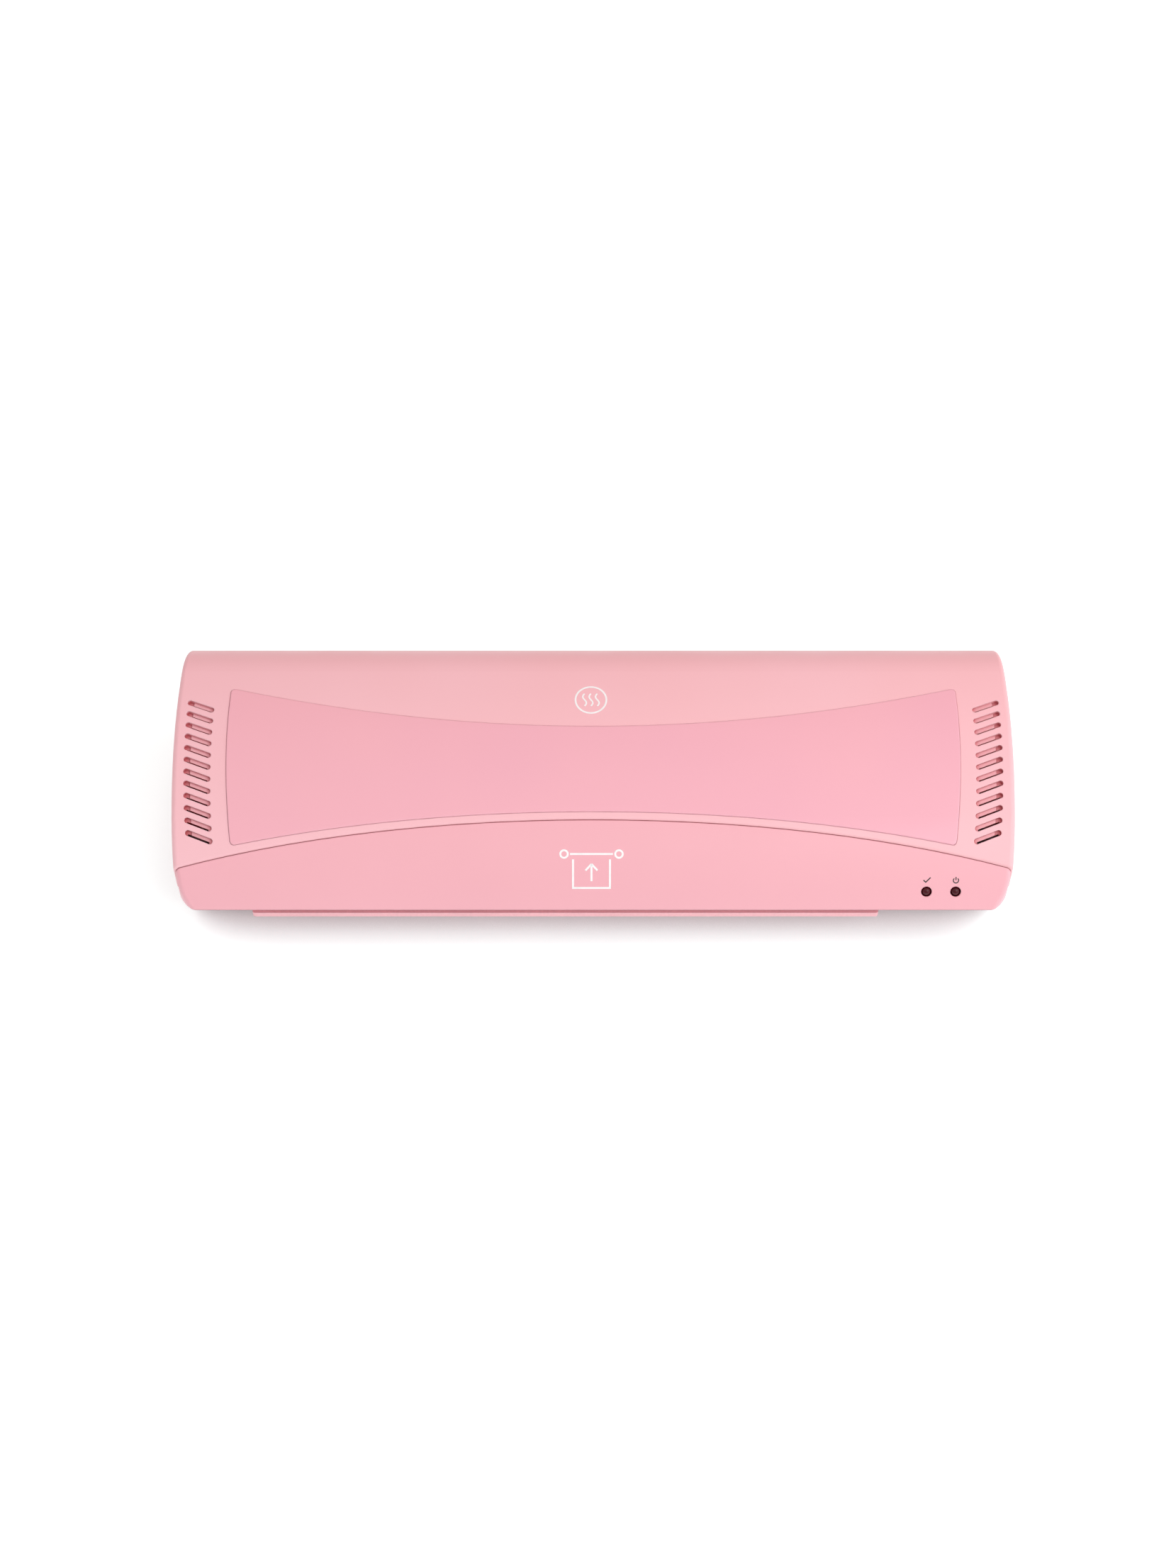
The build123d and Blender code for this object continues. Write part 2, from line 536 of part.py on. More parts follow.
def lower_roller_bushes():
    """Flanged plastic bushes fixed in the frames."""
    parts = []
    for inner_x, side in ((FRAME_LEFT_X, -1), (FRAME_RIGHT_X, 1)):
        body = rod_x(ROLLER_Y, LOWER_Z, 6.0, *sorted((inner_x, inner_x + side * 3.6)))
        body += rod_x(ROLLER_Y, LOWER_Z, 7.6, *sorted((inner_x, inner_x - side * 1.5)))
        parts.append(body - rod_x(ROLLER_Y, LOWER_Z, SHAFT_R + FIT, inner_x - 6, inner_x + 6))
    return group(parts)


def bearing_block(inner_x, side):
    """Sliding block: core in the frame's window, a flange on each face, a lift tab at the rear."""
    def span(a, b):
        return sorted((inner_x + side * a, inner_x + side * b))
    body = block(*span(-1.7, 4.0), ROLLER_Y - 6.0, ROLLER_Y + 6.0, 29.9, 41.0)
    body += block(*span(-1.7, -0.2), ROLLER_Y - 8.0, ROLLER_Y + 8.0, 29.4, 41.0)
    body += block(*span(1.4, 4.0), ROLLER_Y - 8.0, ROLLER_Y + 8.0, 29.4, 41.0)
    body += block(*span(1.4, 4.0), ROLLER_Y + 7.9, 40.5, 37.15, 40.4)
    body += rod_z(inner_x + side * FRAME_THICK / 2, ROLLER_Y, 2.0, 40.9, 44.0)
    return body - rod_x(ROLLER_Y, UPPER_Z, SHAFT_R + FIT, *span(-3, 6))


def upper_bearing_blocks():
    """The pair of sliding bearing blocks."""
    return group([bearing_block(FRAME_LEFT_X, -1), bearing_block(FRAME_RIGHT_X, 1)])


def pressure_springs():
    """Compression springs between the blocks and the top of the frames' windows."""
    parts = []
    wire, mean_r, low, high = 0.45, 3.0, 41.0, 50.0
    for x in (FRAME_LEFT_X - FRAME_THICK / 2, FRAME_RIGHT_X + FRAME_THICK / 2):
        height = high - low - 2 * wire - 0.1
        path = Helix(pitch=height / 4.5, height=height, radius=mean_r)
        section = Plane(path @ 0, z_dir=path % 0) * Circle(wire)
        coil = sweep(section, path=path, is_frenet=True)
        parts.append(Pos(x, ROLLER_Y, low + wire + 0.05) * coil)
    return group(parts)


def clip_ring(y, z, x0, shaft_r):
    """A retaining ring on a shaft."""
    return rod_x(y, z, shaft_r + 1.8, x0, x0 + 0.8) - rod_x(y, z, shaft_r, x0 - 1, x0 + 2)


# ================================================================ gears
def involute(angle):
    """Involute function of a pressure angle in radians."""
    return tan(angle) - angle


def gear_x(teeth, y, z, phase, bore, x0=GEAR_X0, x1=GEAR_X1):
    """Spur gear along X; phase is the angle of one tooth's centre, from +Y towards +Z."""
    pitch_r = MODULE * teeth / 2
    base_r = pitch_r * cos(radians(20))
    root_r, tip_r = pitch_r - 1.2 * MODULE, pitch_r + 0.95 * MODULE
    half_pitch = pi / (2 * teeth) - 0.11 / pitch_r
    radii = [max(base_r, root_r) + (tip_r - max(base_r, root_r)) * k / 4 for k in range(5)]
    flank = [(r, half_pitch + involute(radians(20)) - involute(acos(min(1, base_r / r)))) for r in radii]
    if base_r > root_r:
        flank.insert(0, (root_r, flank[0][1]))
    points = []
    for tooth in range(teeth):
        centre = radians(phase) + 2 * pi * tooth / teeth
        side = [(r, centre - a) for r, a in flank] + [(r, centre + a) for r, a in reversed(flank)]
        points += [(y + r * cos(a), z + r * sin(a)) for r, a in side]
    gear = plate_x(points, x0, x1) - rod_x(y, z, bore, x0 - 1, x1 + 1)
    if root_r > bore + 3:
        web = rod_x(y, z, root_r - 1.5, x1 - 2, x1 + 1) - rod_x(y, z, bore + 1.6, x1 - 3, x1 + 2)
        gear -= web
    return gear


def mesh_phase(teeth_a, phase_a, teeth_b, direction):
    """Phase of gear b that puts it in mesh with gear a, b lying in a direction from a."""
    offset = (phase_a - direction) % (360 / teeth_a)
    return direction + 180 - offset * teeth_a / teeth_b + 180 / teeth_b


def step_from(centre, direction, distance):
    """A point a distance away in the Y-Z plane."""
    return (centre[0] + distance * cos(radians(direction)), centre[1] + distance * sin(radians(direction)))


def idler_centre():
    """Idler axis, in mesh with the lower roller's gear."""
    reach = MODULE * (ROLLER_TEETH + IDLER_TEETH) / 2 + CENTRE_SLACK
    return step_from((ROLLER_Y, LOWER_Z), IDLER_DIRECTION, reach)


def pinion_centre():
    """Motor shaft axis, in mesh with the idler."""
    reach = MODULE * (IDLER_TEETH + PINION_TEETH) / 2 + CENTRE_SLACK
    return step_from(idler_centre(), PINION_DIRECTION, reach)


LOWER_PHASE = 90.0
UPPER_PHASE = mesh_phase(ROLLER_TEETH, LOWER_PHASE, ROLLER_TEETH, 90.0)
IDLER_PHASE = mesh_phase(ROLLER_TEETH, LOWER_PHASE, IDLER_TEETH, IDLER_DIRECTION)
PINION_PHASE = mesh_phase(IDLER_TEETH, IDLER_PHASE, PINION_TEETH, PINION_DIRECTION)


def idler_pin():
    """Pin riveted in the right frame that the idler turns on."""
    y, z = idler_centre()
    pin = rod_x(y, z, IDLER_PIN_R, FRAME_RIGHT_X, 121.0)
    return pin + rod_x(y, z, 4.0, FRAME_RIGHT_X + FRAME_THICK, GEAR_X0 - 0.3)


# ================================================================ motor
def motor_bracket():
    """Steel plate on the standoffs that carries the motor."""
    y, z = pinion_centre()
    outline = ((-47, 26), (-47, 36), (-36, 44), (-10, 54.5), (6, 54.5), (16, 36), (16, 26),
               (-18, 8), (-28, 8))
    plate = plate_x(outline, BRACKET_X, BRACKET_X + FRAME_THICK)
    cut_x = (BRACKET_X - 1, BRACKET_X + 2)
    plate -= rod_x(y, z, 4.0, *cut_x)
    for hole in STANDOFFS:
        plate -= rod_x(*hole, 1.3, *cut_x)
    for side in (-1, 1):
        plate -= rod_x(y + side * EAR_PITCH / 2, z - MOTOR_OFFSET, 1.3, *cut_x)
    return plate


def drive_motor():
    """Flat synchronous motor can with two ears and an offset shaft bearing."""
    y, z = pinion_centre()
    front = BRACKET_X + FRAME_THICK
    can = rod_x(y, z - MOTOR_OFFSET, MOTOR_R, front, front + MOTOR_LENGTH)
    can = fillet(can.edges().group_by(Axis.X)[-1], 1.5)
    ear = block(front, front + 0.8, y - EAR_PITCH / 2, y + EAR_PITCH / 2, z - MOTOR_OFFSET - 4,
                z - MOTOR_OFFSET + 4)
    can += ear
    for side in (-1, 1):
        can += rod_x(y + side * EAR_PITCH / 2, z - MOTOR_OFFSET, 4.0, front, front + 0.8)
        can -= rod_x(y + side * EAR_PITCH / 2, z - MOTOR_OFFSET, 1.5, front - 1, front + 2)
    can += block(front + 6, front + 14, y - 6, y + 6, z - MOTOR_OFFSET - MOTOR_R - 3, z - MOTOR_OFFSET - 15)
    return can - rod_x(y, z, MOTOR_SHAFT_R + FIT, front - 1, front + 8)


def motor_screws():
    """Two screws through the motor's ears into the bracket."""
    y, z = pinion_centre()
    seat = BRACKET_X + FRAME_THICK + 0.8
    return group([screw_x(y + side * EAR_PITCH / 2, z - MOTOR_OFFSET, seat, 1, 2.2, 2.6, 1.3)
                  for side in (-1, 1)])


def bracket_standoffs():
    """Hexagonal pillars between the right frame and the bracket."""
    parts = []
    for y, z in STANDOFFS:
        pillar = plate_x([step_from((y, z), 60 * k, 3.2) for k in range(6)],
                         FRAME_RIGHT_X + FRAME_THICK, BRACKET_X)
        parts.append(pillar - rod_x(y, z, 1.25, FRAME_RIGHT_X, BRACKET_X + 1))
    return group(parts)


def standoff_screws():
    """Screws through the frame, and riveted pins through the bracket, into the pillars."""
    parts = []
    for y, z in STANDOFFS:
        parts.append(screw_x(y, z, FRAME_RIGHT_X, -1, 5.5, 2.6, 1.25))
        parts.append(rod_x(y, z, 1.25, BRACKET_X - 4, BRACKET_X + FRAME_THICK))
    return group(parts)


# ================================================================ heating
def heater_plate(side):
    """Aluminium plate with a flared mouth, side is -1 below the pouch and +1 above it."""
    face_z = PATH_Z + side * 0.8
    back_z = face_z + side * 1.5
    flare_z = PATH_Z + side * 2.2
    outline = ((3, face_z), (3, back_z), (-35.5, back_z), (-39.5, flare_z + side * 1.5),
               (-39.5, flare_z), (-35.5, face_z))
    plate = plate_x(outline, FRAME_LEFT_X + 0.1, FRAME_RIGHT_X - 0.1)
    z0, z1 = sorted((face_z, back_z))
    plate += block(FRAME_LEFT_X - 2.4, FRAME_RIGHT_X + 2.4, -30, -13, z0, z1)
    rib_z = sorted((back_z - side * 0.1, back_z + side * 2.8))
    ribs = [block(FRAME_LEFT_X + 6, FRAME_RIGHT_X - 6, y, y + 1.2, *rib_z) for y in (-30.2, -3.4)]
    return plate + ribs


def heating_element(side):
    """Flat mica-wrapped strip that lies between the plate's ribs."""
    z0, z1 = sorted((PATH_Z + side * 2.35, PATH_Z + side * 4.6))
    strip = block(FRAME_LEFT_X + 14, FRAME_RIGHT_X - 14, -28.8, -3.6, z0, z1)
    middle = (z0 + z1) / 2
    return strip + block(FRAME_RIGHT_X - 14.1, FRAME_RIGHT_X - 6, -20, -12, middle - 0.4, middle + 0.4)


def heat_shield_upper():
    """Folded steel sheet over the upper plate, open below."""
    x0, x1 = FRAME_LEFT_X + 0.4, FRAME_RIGHT_X - 0.4
    outline = ((-30, 31.2), (-30, 39), (-25, 43), (0.5, 43), (0.5, 31.2), (-0.1, 31.2), (-0.1, 42.4),
               (-24.8, 42.4), (-29.4, 38.7), (-29.4, 31.2))
    shield = plate_x(outline, x0, x1)
    for index in range(8):
        x = x0 + 22 + index * 27.5
        shield -= block(x - 7, x + 7, -18, -12, 42, 44)
    return shield


def heat_shield_lower():
    """Flat steel sheet under the lower plate, with turned edges."""
    x0, x1 = FRAME_LEFT_X + 0.4, FRAME_RIGHT_X - 0.4
    outline = ((-30, 20.0), (-30, 15.5), (2.5, 15.5), (2.5, 20.0), (1.9, 20.0), (1.9, 16.1), (-29.4, 16.1),
               (-29.4, 20.0))
    return plate_x(outline, x0, x1)


def thermostat():
    """Disc thermostat with two blade terminals, on the upper element."""
    x, y, z = -11.0, -16.0, PATH_Z + 4.6
    body = rod_z(x, y, 8.0, z, z + 2.2) + rod_z(x, y, 6.6, z + 2.1, z + 7.0)
    for side in (-1, 1):
        body += block(x + side * 3.5 - 2.0, x + side * 3.5 + 2.0, y - 0.4, y + 0.4, z + 6.9, z + 10.4)
    return body


def thermal_fuse():
    """Axial fuse link in its sleeve, beside the thermostat."""
    z = PATH_Z + 4.6 + 2.0
    fuse = rod_x(-16.0, z, 2.0, 22.0, 34.0)
    return fuse + rod_x(-16.0, z, 0.5, 15.0, 22.1) + rod_x(-16.0, z, 0.5, 33.9, 41.0)


def exit_guide(side):
    """Plastic plate that guides the pouch from the rollers to the rear slot."""
    z0, z1 = (SLOT_Z0 - 2.0, SLOT_Z0) if side < 0 else (SLOT_Z1, SLOT_Z1 + 1.4)
    x0, x1 = FRAME_LEFT_X + 0.2, FRAME_RIGHT_X - 0.2
    guide = block(x0, x1, 25.0, TUB_REAR - 2.8, z0, z1)
    if side < 0:
        for index in range(9):
            x = x0 + 12 + index * 26.5
            guide += block(x - 0.8, x + 0.8, 29, TUB_REAR - 2.8, z0 - 5, z0 + 0.1)
        guide -= block(x0 - 1, x1 + 1, 31.5, 40.5, z0 - 6, z0 - 0.5)
    return guide


# ================================================================ release
def release_shaft():
    """Cross shaft that turns the cams."""
    return chamfer(rod_x(RELEASE_Y, RELEASE_Z, RELEASE_R, -154.0, 113.5).edges(), 0.4)


def release_cams():
    """Eccentric discs under the bearing blocks' tabs."""
    parts = []
    for inner_x, side in ((FRAME_LEFT_X, -1), (FRAME_RIGHT_X, 1)):
        x0, x1 = sorted((inner_x + side * 1.6, inner_x + side * 4.0))
        disc = rod_x(RELEASE_Y + CAM_OFFSET, RELEASE_Z, CAM_R, x0, x1)
        disc += rod_x(RELEASE_Y, RELEASE_Z, 3.9, x0, x1)
        parts.append(disc - rod_x(RELEASE_Y, RELEASE_Z, RELEASE_R, x0 - 1, x1 + 1))
    return group(parts)


def release_lever():
    """Plastic lever: hub on the shaft, arm and a ribbed thumb pad behind the casing."""
    reach = LEVER_TIP_Y - RELEASE_Y
    arm = make_face(Polyline((0, -4.2), (reach - 3, -2.6), (reach - 3, -3.8), (reach, -3.8), (reach, 3.8),
                             (reach - 3, 3.8), (reach - 3, 2.6), (0, 4.2), close=True))
    lever = Pos(-3, 0, 0) * extrude(Plane.YZ * arm, 6)
    lever += Pos(0, reach - 1.5, 0) * Box(10, 3, 7.6)
    lever += Rot(0, 90, 0) * Cylinder(5.4, 8)
    for z in (-2.2, 0.0, 2.2):
        lever -= Pos(0, reach, z) * Box(8.4, 0.8, 0.9)
    lever = Rot(LEVER_REST, 0, 0) * lever
    return Pos(LEVER_X, RELEASE_Y, RELEASE_Z) * lever - rod_x(RELEASE_Y, RELEASE_Z, RELEASE_R, -160, -140)


# ================================================================ export
def nodes():
    """Every node's name and shape."""
    idler_y, idler_z = idler_centre()
    motor_y, motor_z = pinion_centre()
    yield "top_cover", top_cover()
    yield "top_inlay_panel", top_inlay_panel()
    yield "front_apron", front_apron()
    yield "bottom_case", bottom_case()
    yield "feed_shelf", feed_shelf()
    yield "ready_lamp", lamp(LED_X[0])
    yield "power_lamp", lamp(LED_X[1])
    yield "lamp_board", lamp_board()
    yield "board_resistors", board_resistors()
    yield "board_screws", board_screws()
    yield "rubber_feet", rubber_feet()
    yield "case_screws", case_screws()
    yield "cord_gland", cord_gland()
    yield "switch_housing", switch_housing()
    yield "power_rocker", power_rocker()
    yield "side_frame_left", side_frame(FRAME_LEFT_X, -1)
    yield "side_frame_right", side_frame(FRAME_RIGHT_X, 1)
    yield "tie_bars", tie_bars()
    yield "tie_bar_screws", tie_bar_screws()
    yield "frame_screws", frame_screws()
    for name, z, phase in (("lower", LOWER_Z, LOWER_PHASE), ("upper", UPPER_Z, UPPER_PHASE)):
        yield name + "_roller_shaft", roller_shaft(z)
        yield name + "_roller_sleeve", roller_sleeve(z)
        yield name + "_roller_gear", gear_x(ROLLER_TEETH, ROLLER_Y, z, phase, SHAFT_R)
        yield name + "_roller_clip", clip_ring(ROLLER_Y, z, -135.4, SHAFT_R)
    yield "lower_roller_bushes", lower_roller_bushes()
    yield "upper_bearing_blocks", upper_bearing_blocks()
    yield "pressure_springs", pressure_springs()
    yield "idler_gear", gear_x(IDLER_TEETH, idler_y, idler_z, IDLER_PHASE, IDLER_PIN_R + FIT)
    yield "idler_pin", idler_pin()
    yield "idler_clip", clip_ring(idler_y, idler_z, GEAR_X1 + 0.3, IDLER_PIN_R)
    yield "motor_pinion", gear_x(PINION_TEETH, motor_y, motor_z, PINION_PHASE, MOTOR_SHAFT_R)
    yield "motor_shaft", rod_x(motor_y, motor_z, MOTOR_SHAFT_R, GEAR_X0, BRACKET_X + FRAME_THICK + 7)
    yield "drive_motor", drive_motor()
    yield "motor_bracket", motor_bracket()
    yield "motor_screws", motor_screws()
    yield "bracket_standoffs", bracket_standoffs()
    yield "standoff_screws", standoff_screws()
    for name, side in (("lower", -1), ("upper", 1)):
        yield name + "_heater_plate", heater_plate(side)
        yield name + "_heating_element", heating_element(side)
        yield name + "_exit_guide", exit_guide(side)
    yield "upper_heat_shield", heat_shield_upper()
    yield "lower_heat_shield", heat_shield_lower()
    yield "thermostat", thermostat()
    yield "thermal_fuse", thermal_fuse()
    yield "release_shaft", release_shaft()
    yield "release_cams", release_cams()
    yield "release_lever", release_lever()


def centred(shape):
    """The shape moved so that the origin is under the middle of the whole object's box."""
    solids = [Pos(0, -MIDDLE_Y, 0) * solid for solid in shape.solids()]
    return solids[0] if len(solids) == 1 else Compound(children=solids)


os.makedirs("parts", exist_ok=True)
for node, shape in nodes():
    export_step(centred(shape), "parts/" + node + ".step")
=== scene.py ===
import json
import math

import bmesh
import bpy
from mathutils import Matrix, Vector
from mathutils.bvhtree import BVHTree


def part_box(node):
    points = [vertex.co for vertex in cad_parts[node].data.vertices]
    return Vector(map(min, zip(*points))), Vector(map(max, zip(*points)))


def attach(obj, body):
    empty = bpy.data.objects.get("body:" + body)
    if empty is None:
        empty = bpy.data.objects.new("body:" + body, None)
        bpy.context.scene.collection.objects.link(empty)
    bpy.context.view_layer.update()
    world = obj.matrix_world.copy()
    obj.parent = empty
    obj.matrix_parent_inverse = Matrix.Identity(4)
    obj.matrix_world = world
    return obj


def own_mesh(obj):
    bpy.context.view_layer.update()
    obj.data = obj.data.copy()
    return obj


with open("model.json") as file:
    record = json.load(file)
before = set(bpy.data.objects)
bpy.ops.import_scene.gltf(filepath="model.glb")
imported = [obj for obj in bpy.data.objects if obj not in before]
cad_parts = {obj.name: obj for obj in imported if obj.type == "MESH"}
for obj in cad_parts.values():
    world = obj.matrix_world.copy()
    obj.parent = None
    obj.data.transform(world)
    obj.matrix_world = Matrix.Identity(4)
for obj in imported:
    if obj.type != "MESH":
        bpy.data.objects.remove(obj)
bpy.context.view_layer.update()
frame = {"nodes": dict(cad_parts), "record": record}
NODES = frame["nodes"]
MM = 0.001

# ---------------------------------------------------------------- view
VIEW_ELEVATION = 55.0
CAMERA_DISTANCE = 1.10
FRAME_HEIGHT = 0.6480           # metres that the image spans at the camera's aim point
AIM = Vector((-0.0021, -0.0014, 0.0335))

# ---------------------------------------------------------------- light
SKY_FRONT, SKY_TOP, SKY_BACK = 0.62, 1.10, 0.36     # the world's strength ahead, above and behind
SKY_AHEAD_SPAN, SKY_BEHIND_SPAN = (-0.9, -0.1), (0.25, 0.8)     # the sky direction's Y over which those blend
SKY_SIDE_SPAN = (-0.9, 0.9)     # and its X over which left turns to right
SKY_BACK_TINT = (1.0, 0.55, 0.44)
SKY_LEFT, SKY_RIGHT = 0.70, 1.20      # factors on that strength
KEY_POWER, FILL_POWER = 4.0, 0.2
KEY_PLACE, KEY_TARGET, KEY_SIZE = (0.62, -0.42, 0.74), (0.05, 0, 0), 0.8
FILL_PLACE, FILL_TARGET, FILL_SIZE = (-0.8, -0.5, 1.0), (0, 0, 0), 0.9
FLOOR_COLOUR, FLOOR_GLOW = (0.66, 0.78, 0.77), 0.52    # a light table: it glows, so that it stays white
FLOOR_SHADE_REACH = 0.045       # metres within which the glow is dimmed near the object: a painted contact shadow
FLOOR_SHADE_SPAN = (0.18, 0.62)     # open sky at which the glow is gone, and at which it is full
FLOOR_HALF = 6.0

# ---------------------------------------------------------------- colours, linear
# Paler than the apron's pink: painted light for the cover's top, lit from above.
COVER_PINK = (0.89, 0.50, 0.545)
INLAY_PINK = (0.87, 0.425, 0.485)
APRON_PINK = (0.86, 0.42, 0.475)
# Lighter than the apron's pink: painted light against the shade under the apron's lip.
SHELF_PINK = (0.90, 0.455, 0.50)
TUB_PINK = (0.84, 0.41, 0.46)
# Painted shade deep in a seam or vent: the deep red of light bouncing from pink to pink, painted into the
# colour.
PAINTED_CREVICE_SHADE = (0.50, 0.035, 0.05)
WHITE_INK = (0.92, 0.89, 0.89)
BLACK_INK = (0.035, 0.03, 0.03)


# ================================================================ materials
def new_node(tree, kind, **settings):
    """Adds a shader node; settings that aren't node properties are input sockets."""
    node = tree.nodes.new(kind)
    for key, value in settings.items():
        if hasattr(node, key):
            setattr(node, key, value)
        else:
            node.inputs[key.replace("_", " ")].default_value = value
    return node


def darker(colour, factor):
    return tuple(c * factor for c in colour)


def blank_material(name, metallic, specular=0.5, coat=0.0):
    material = bpy.data.materials.new(name)
    material.use_nodes = True
    shader = material.node_tree.nodes["Principled BSDF"]
    shader.inputs["Metallic"].default_value = metallic
    shader.inputs["Specular IOR Level"].default_value = specular
    shader.inputs["Coat Weight"].default_value = coat
    shader.inputs["Coat Roughness"].default_value = 0.15
    return material, material.node_tree, shader


def place(tree, stretch):
    """Object coordinates in metres, which are the frame's own at rest, stretched per axis."""
    coordinates = tree.nodes.new("ShaderNodeTexCoord")
    mapping = tree.nodes.new("ShaderNodeMapping")
    mapping.inputs["Scale"].default_value = stretch
    tree.links.new(coordinates.outputs["Object"], mapping.inputs["Vector"])
    return mapping.outputs["Vector"]


def noise(tree, vector, scale, detail):
    node = new_node(tree, "ShaderNodeTexNoise", Scale=scale, Detail=detail, Roughness=0.55)
    tree.links.new(vector, node.inputs["Vector"])
    return node.outputs["Fac"]


def spread(tree, value, low, high, source=(0.3, 0.7)):
    """Maps a texture value onto a number range."""
    node = new_node(tree, "ShaderNodeMapRange")
    for socket, number in zip(("From Min", "From Max", "To Min", "To Max"), (*source, low, high)):
        node.inputs[socket].default_value = number
    tree.links.new(value, node.inputs["Value"])
    return node.outputs["Result"]


def blend_colours(tree, factor, first, second):
    """A colour mix; first and second are colours or colour outputs."""
    node = new_node(tree, "ShaderNodeMix", data_type="RGBA")
    tree.links.new(factor, node.inputs["Factor"])
    for socket, colour in ((node.inputs[6], first), (node.inputs[7], second)):
        if isinstance(colour, tuple):
            socket.default_value = (*colour, 1)
        else:
            tree.links.new(colour, socket)
    return node.outputs[2]


def edge_mask(tree, radius):
    """High where the surface turns sharply within radius: the edges where a highlight is painted."""
    bevel = new_node(tree, "ShaderNodeBevel", samples=4, Radius=radius)
    geometry = tree.nodes.new("ShaderNodeNewGeometry")
    dot = new_node(tree, "ShaderNodeVectorMath", operation="DOT_PRODUCT")
    tree.links.new(bevel.outputs["Normal"], dot.inputs[0])
    tree.links.new(geometry.outputs["Normal"], dot.inputs[1])
    return spread(tree, dot.outputs["Value"], 1.0, 0.0, (0.80, 0.99)), bevel.outputs["Normal"]


def painted_crevice_shade_mask(tree, reach):
    """High in narrow gaps, where the open sky within reach is mostly walled in: where painted shade goes."""
    occlusion = new_node(tree, "ShaderNodeAmbientOcclusion", samples=6, Distance=reach)
    return spread(tree, occlusion.outputs["AO"], 1.0, 0.0, (0.25, 0.80))


def bump(tree, height, distance, normal=None):
    node = new_node(tree, "ShaderNodeBump", Strength=1.0, Distance=distance)
    tree.links.new(height, node.inputs["Height"])
    if normal is not None:
        tree.links.new(normal, node.inputs["Normal"])
    return node.outputs["Normal"]


def finish_material(name, colour, shade=0.94, patch=(9.0, 3), roughness=(0.42, 0.52), grain=(1400.0, 0.012),
                    stretch=(1, 1, 1), metallic=0.0, edge=0.0006, edge_highlight_strength=0.25, edge_highlight_colour=None, specular=0.5,
                    coat=0.0, speck=0.0, crevice_shade_reach=None, drift=None):
    """Patchy colour, uneven gloss, fine surface grain, a painted highlight on sharp edges and painted shade
    in gaps.
    """
    material, tree, shader = blank_material(name, metallic, specular, coat)
    vector = place(tree, stretch)
    patches = noise(tree, vector, *patch)
    tint = blend_colours(tree, spread(tree, patches, 0.0, 1.0), colour, drift or darker(colour, shade))
    fine = noise(tree, vector, grain[0], 2)
    if speck:
        tint = blend_colours(tree, spread(tree, fine, 0.0, speck), tint, darker(colour, 0.6))
    normal = None
    if edge:
        mask, normal = edge_mask(tree, edge)
        # Painted highlight: a paler colour along sharp edges.
        edge_highlight_tint = edge_highlight_colour or tuple(min(1.0, c * 1.12 + 0.05) for c in colour)
        edge_highlight_weight = spread(tree, mask, 0.0, edge_highlight_strength, (0.0, 1.0))
        tint = blend_colours(tree, edge_highlight_weight, tint, edge_highlight_tint)
    # Painted shade: deep red blended in where narrow gaps wall in the sky.
    if crevice_shade_reach:
        tint = blend_colours(tree, painted_crevice_shade_mask(tree, crevice_shade_reach), tint, PAINTED_CREVICE_SHADE)
    tree.links.new(tint, shader.inputs["Base Color"])
    tree.links.new(spread(tree, noise(tree, vector, patch[0] * 7, 3), *roughness), shader.inputs["Roughness"])
    tree.links.new(bump(tree, fine, grain[1] * MM, normal), shader.inputs["Normal"])
    return material


def spangle_material(name, colour):
    """Galvanised sheet: crystal flowers of uneven brightness."""
    material, tree, shader = blank_material(name, 1.0)
    vector = place(tree, (1, 1, 1))
    cells = new_node(tree, "ShaderNodeTexVoronoi", Scale=180.0)
    tree.links.new(vector, cells.inputs["Vector"])
    tint = blend_colours(tree, cells.outputs["Distance"], colour, darker(colour, 0.72))
    tree.links.new(tint, shader.inputs["Base Color"])
    tree.links.new(spread(tree, noise(tree, vector, 400.0, 3), 0.32, 0.5), shader.inputs["Roughness"])
    tree.links.new(bump(tree, cells.outputs["Distance"], 0.01 * MM), shader.inputs["Normal"])
    return material


def board_material(name):
    """Solder mask with darker tracks showing through."""
    material, tree, shader = blank_material(name, 0.0)
    vector = place(tree, (1, 1, 1))
    tracks = new_node(tree, "ShaderNodeTexBrick", Scale=260.0, offset=0.35)
    tracks.inputs["Color1"].default_value = (0.02, 0.16, 0.05, 1)
    tracks.inputs["Color2"].default_value = (0.03, 0.20, 0.07, 1)
    tracks.inputs["Mortar"].default_value = (0.05, 0.27, 0.10, 1)
    tree.links.new(vector, tracks.inputs["Vector"])
    tree.links.new(tracks.outputs["Color"], shader.inputs["Base Color"])
    tree.links.new(spread(tree, noise(tree, vector, 300.0, 2), 0.25, 0.4), shader.inputs["Roughness"])
    tree.links.new(bump(tree, tracks.outputs["Fac"], 0.02 * MM), shader.inputs["Normal"])
    return material


def lamp_material(name):
    """Deep red epoxy: clear skin over a dark tinted body."""
    material, tree, shader = blank_material(name, 0.0, specular=0.3, coat=0.0)
    vector = place(tree, (1, 1, 1))
    depth = noise(tree, vector, 500.0, 2)
    tint = blend_colours(tree, spread(tree, depth, 0, 1), (0.080, 0.002, 0.008), (0.045, 0.001, 0.005))
    tree.links.new(tint, shader.inputs["Base Color"])
    tree.links.new(spread(tree, depth, 0.12, 0.20), shader.inputs["Roughness"])
    tree.links.new(bump(tree, depth, 0.01 * MM), shader.inputs["Normal"])
    return material


